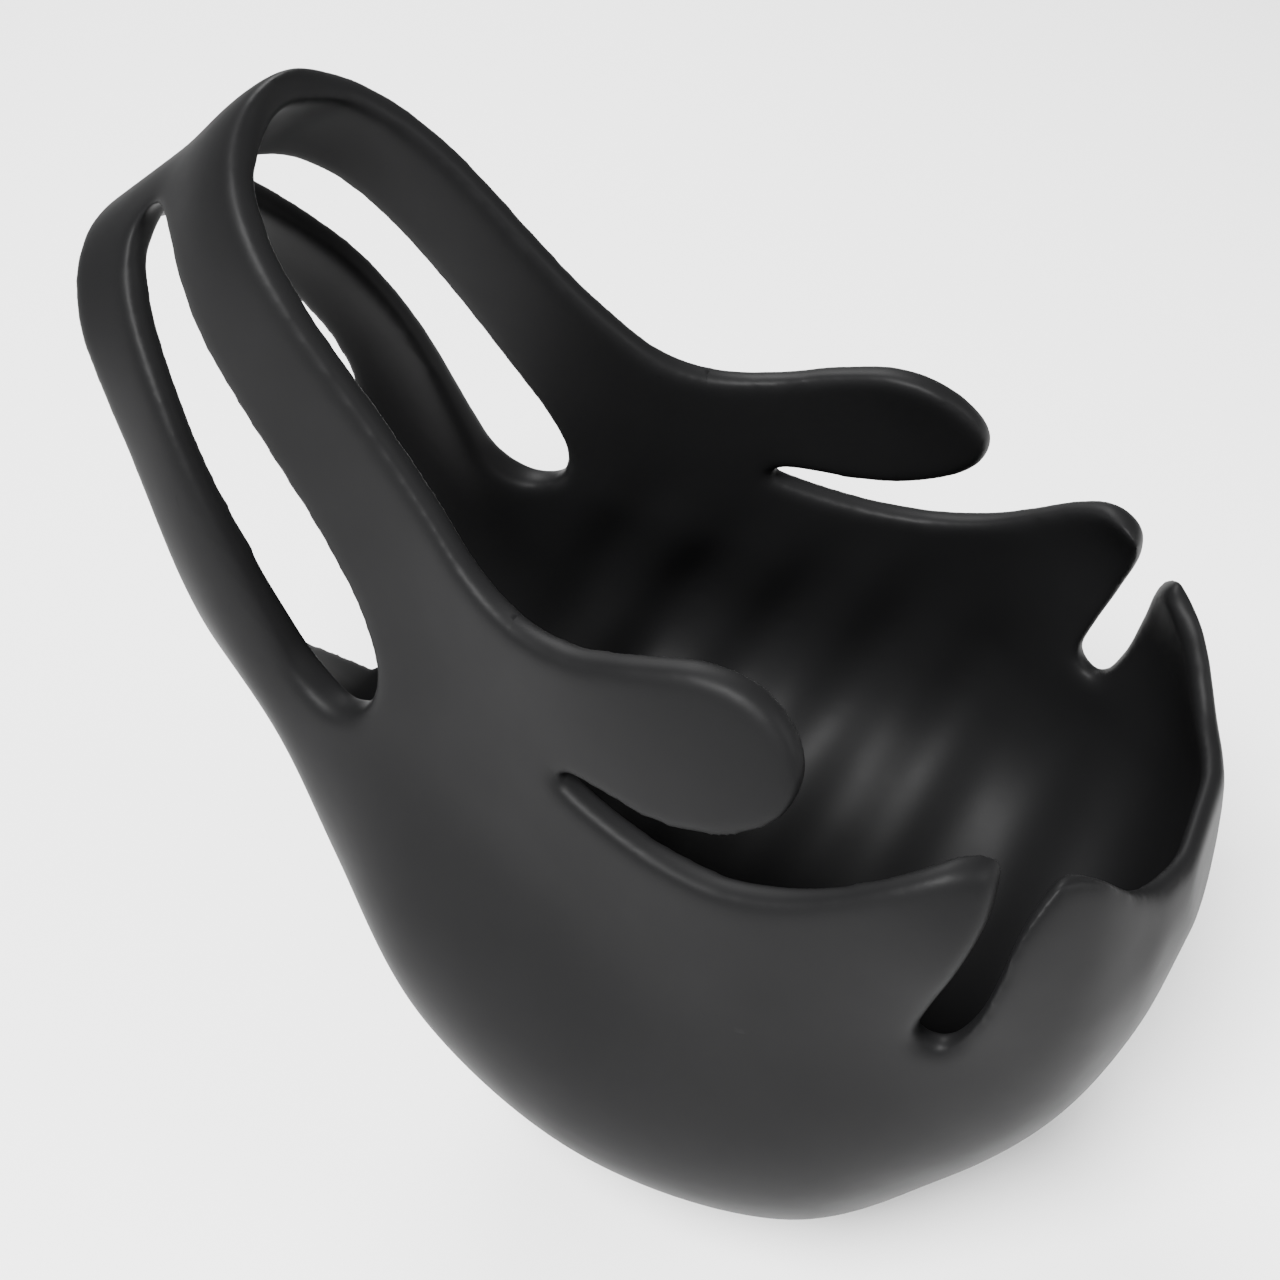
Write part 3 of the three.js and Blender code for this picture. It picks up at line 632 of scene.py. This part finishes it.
class MASSAGER_OT_sleeve(bpy.types.Operator):
    """Build the silicone sleeve, and part it at its living hinges"""

    bl_idname = "massager.sleeve"
    bl_label = "Silicone sleeve"

    def execute(self, context):
        settings = context.scene.massager_sleeve
        sleeve = loft("sleeve_moulding", skin_ring, settings.rows, settings.steps)
        hollow = loft("hollow", hollow_ring, settings.rows, settings.steps,
                      rib=rib_field(settings))
        edge = smooth_outline(FRONT_EDGE, EDGE_STEP)
        rear = smooth_outline(REAR_EDGE, SIDE_STEP)
        tools = [
            hollow,
            side_prism("front_opening", [(-50, 150), (-57, 128), *edge, (60, 76), (60, 150)]),
            dip_prism("lip_dip"),
            side_prism("rear_opening", [*rear, (-100, rear[-1].y), (-100, 104)]),
            side_prism("side_windows", smooth_outline(SLOT, SIDE_STEP, closed=True)),
            block("below_landing", (-0.1, -0.1, -0.04), (0.1, 0.1, 0)),
            *pod_tools(context.scene.massager_pod.clearance),
        ]
        for tool in tools:
            boolean(sleeve, tool, "DIFFERENCE")
        discard(*tools)
        self.round_edges(sleeve, settings)
        self.part(sleeve, silicone_material(settings.colour))
        return {"FINISHED"}

    def round_edges(self, sleeve, settings):
        """Remeshes the sleeve evenly and rounds its edges, then thins its flat stretches."""
        remesh = sleeve.modifiers.new("even", "REMESH")
        remesh.mode = "VOXEL"
        remesh.voxel_size = settings.voxel
        bake(sleeve)
        bm = bmesh.new()
        bm.from_mesh(sleeve.data)
        for _ in range(settings.smoothing):
            bmesh.ops.smooth_vert(bm, verts=bm.verts, factor=0.5, use_axis_x=True,
                                  use_axis_y=True, use_axis_z=True)
        bm.to_mesh(sleeve.data)
        bm.free()
        triangles = sum(len(face.vertices) - 2 for face in sleeve.data.polygons)
        thin = sleeve.modifiers.new("thin", "DECIMATE")
        thin.ratio = min(1.0, settings.triangles / triangles)
        bake(sleeve)

    def part(self, sleeve, material):
        """Parts the wings and the lip from the sleeve at their hinge lines, as pieces of their own."""
        (x0, z0), (x1, z1) = WING_LINE
        length = math.hypot(x1 - x0, z1 - z0)
        across = Vector(((z1 - z0) / length, 0, (x0 - x1) / length))
        wing_start = Vector(((x0 + x1) / 2, 0, (z0 + z1) / 2)) * MM
        lip_start = Vector((0, 0, LIP_HINGE_HEIGHT)) * MM
        flaps = [
            ("wing_left", wing_region("left_region", 1), wing_start, across * WING_BEND * MM),
            ("wing_right", wing_region("right_region", -1), wing_start, across * WING_BEND * MM),
            ("front_lip", lip_region("lip_region"), lip_start, Vector((0, 0, LIP_BEND * MM))),
        ]
        for node, region, start, bend in flaps:
            flap = sleeve.copy()
            flap.data = sleeve.data.copy()
            flap.name = f"{node}_moulding"
            linked(flap)
            boolean(flap, region, "INTERSECT")
            boolean(sleeve, region, "DIFFERENCE")
            discard(region)
            shade(flap, FLAP_SHARP)
            flap.data.materials.clear()
            flap.data.materials.append(material)
            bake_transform(flap)
            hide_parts(node)
        shade(sleeve, FLAP_SHARP)
        finish_piece(sleeve, material, replaces=("sleeve_body",))


class MASSAGER_OT_pod(bpy.types.Operator):
    """Finish the drive pod, its seal, its screws and its button"""

    bl_idname = "massager.pod"
    bl_label = "Drive pod"

    def execute(self, context):
        settings = context.scene.massager_pod
        plastic = plastic_material("pod_plastic", settings.plastic, 0.45)
        seal = plastic_material("seal_rubber", settings.seal, 0.6)
        screw_steel = metal_material("screw_steel", (0.55, 0.56, 0.58), 0.32)
        finish_nodes(plastic, "pod_base", "pod_lid")
        finish_nodes(seal, "pod_gasket")
        finish_nodes(screw_steel, *[f"pod_screw_{i}" for i in range(1, 5)])
        button = self.button()
        finish_piece(button, plastic, body="button", replaces=("button_cap",))
        return {"FINISHED"}

    def button(self):
        """Cap with a rounded rim and a shallow finger dish, on its stem."""
        low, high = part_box("button_cap")
        radius = (high.x - low.x) / 2
        rim, dish, stem = 0.0006, 0.0004, 0.0018
        bottom, flange = low.z, low.z + 0.0015
        profile = [(0, bottom + dish)]
        profile += [(radius * 0.8 * k / 8, bottom + dish * math.cos(math.pi * k / 16))
                    for k in range(1, 9)]
        profile += [(radius - rim + rim * math.sin(math.pi * k / 12),
                     bottom + rim - rim * math.cos(math.pi * k / 12)) for k in range(7)]
        profile += [(radius, flange), (stem, flange), (stem, high.z), (0, high.z)]
        button = turned("power_button", profile, (low + high) / 2)
        shade(button, BUTTON_SHARP)
        return button


class MASSAGER_OT_electronics(bpy.types.Operator):
    """Finish the motor, the cell, the board and the leads"""

    bl_idname = "massager.electronics"
    bl_label = "Motor and electronics"

    def execute(self, context):
        settings = context.scene.massager_pod
        steel = metal_material("motor_steel", (0.58, 0.59, 0.61), 0.3, stretch=(0.05, 1, 1))
        brass = metal_material("gilded_brass", (0.72, 0.47, 0.16), 0.26)
        magnet = metal_material("plated_magnet", (0.62, 0.63, 0.66), 0.2)
        chip = plastic_material("chip_black", (0.012, 0.012, 0.013), 0.4)
        wrap = plastic_material("cell_wrap", settings.cell, 0.3)
        red = plastic_material("lead_red", (0.35, 0.015, 0.015), 0.45)
        black = plastic_material("lead_black", (0.014, 0.014, 0.015), 0.45)
        finish_nodes(steel, "motor_can", "motor_shaft", "tact_switch")
        finish_nodes(brass, "eccentric_weight", "charge_contact_left", "charge_contact_right")
        finish_nodes(magnet, "magnet_left", "magnet_right")
        finish_nodes(chip, "control_chip", "motor_end_cap")
        finish_nodes(wrap, "battery_cell")
        finish_nodes(foam_material(), "battery_pad", "motor_cradle")
        finish_nodes(board_material(), "circuit_board")
        finish_nodes(clear_material(), "light_pipe", "status_led")
        finish_nodes(red, "battery_lead_red", "motor_lead_red")
        finish_nodes(black, "battery_lead_black", "motor_lead_black")
        return {"FINISHED"}


class MASSAGER_OT_stage(bpy.types.Operator):
    """Set the pale floor, the soft lights and the camera"""

    bl_idname = "massager.stage"
    bl_label = "Stage"

    def execute(self, context):
        settings = context.scene.massager_stage
        self.floor(settings)
        self.world(settings)
        self.lights(settings)
        self.camera(context)
        return {"FINISHED"}

    def floor(self, settings):
        bm = bmesh.new()
        bmesh.ops.create_grid(bm, x_segments=8, y_segments=8, size=3)
        floor = to_object("studio_floor", bm)
        floor.data.materials.append(floor_material(settings.floor))

    def world(self, settings):
        world = bpy.data.worlds.new("soft_studio")
        world.use_nodes = True
        background = world.node_tree.nodes["Background"]
        background.inputs["Color"].default_value = (1, 1, 1, 1)
        background.inputs["Strength"].default_value = settings.world
        bpy.context.scene.world = world

    def lights(self, settings):
        target = Vector((-0.01, 0, 0.06))
        for name, place, size, power in (
            ("key_softbox", (-0.06, -0.4, 0.66), 0.3, settings.key),
            ("side_softbox", (0.5, 0.1, 0.35), 0.3, settings.key * 0.12),
            ("back_softbox", (-0.3, 0.35, 0.45), 0.25, settings.key * 0.2),
        ):
            light = bpy.data.lights.new(name, "AREA")
            light.shape = "DISK"
            light.size = size
            light.energy = power
            lamp = bpy.data.objects.new(name, light)
            lamp.location = place
            lamp.rotation_euler = (target - lamp.location).to_track_quat("-Z", "Y").to_euler()
            linked(lamp)

    def camera(self, context):
        """Camera above the massager's right side, towards its front."""
        camera = bpy.data.cameras.new("camera")
        camera.sensor_width = 36
        camera.lens = 50.625
        camera.clip_start = 0.005
        rig = bpy.data.objects.new("camera", camera)
        rig.location = (0.0361, -0.1259, 0.1927)
        rig.rotation_mode = "QUATERNION"
        rig.rotation_quaternion = Vector((-0.3153, 0.667, -0.6752)).to_track_quat("-Z", "Y")
        linked(rig)
        context.scene.camera = rig


# ------------------------------------------------------------------ panel and running


class MASSAGER_PT_panel(bpy.types.Panel):
    """Steps that build the massager"""

    bl_idname = "MASSAGER_PT_panel"
    bl_label = "Massager"
    bl_space_type = "VIEW_3D"
    bl_region_type = "UI"
    bl_category = "Massager"

    def draw(self, context):
        for operator in OPERATORS:
            self.layout.operator(operator.bl_idname)


OPERATORS = (
    MASSAGER_OT_sleeve,
    MASSAGER_OT_pod,
    MASSAGER_OT_electronics,
    MASSAGER_OT_stage,
)
SETTINGS = {
    "massager_sleeve": SleeveSettings,
    "massager_pod": PodSettings,
    "massager_stage": StageSettings,
}
CLASSES = (*SETTINGS.values(), *OPERATORS, MASSAGER_PT_panel)


def register():
    for cls in CLASSES:
        bpy.utils.register_class(cls)
    for name, cls in SETTINGS.items():
        setattr(bpy.types.Scene, name, PointerProperty(type=cls))


def unregister():
    for name in SETTINGS:
        delattr(bpy.types.Scene, name)
    for cls in reversed(CLASSES):
        bpy.utils.unregister_class(cls)


def main():
    register()
    bpy.ops.massager.stage()
    bpy.ops.massager.sleeve()
    bpy.ops.massager.pod()
    bpy.ops.massager.electronics()


if __name__ == "__main__":
    main()
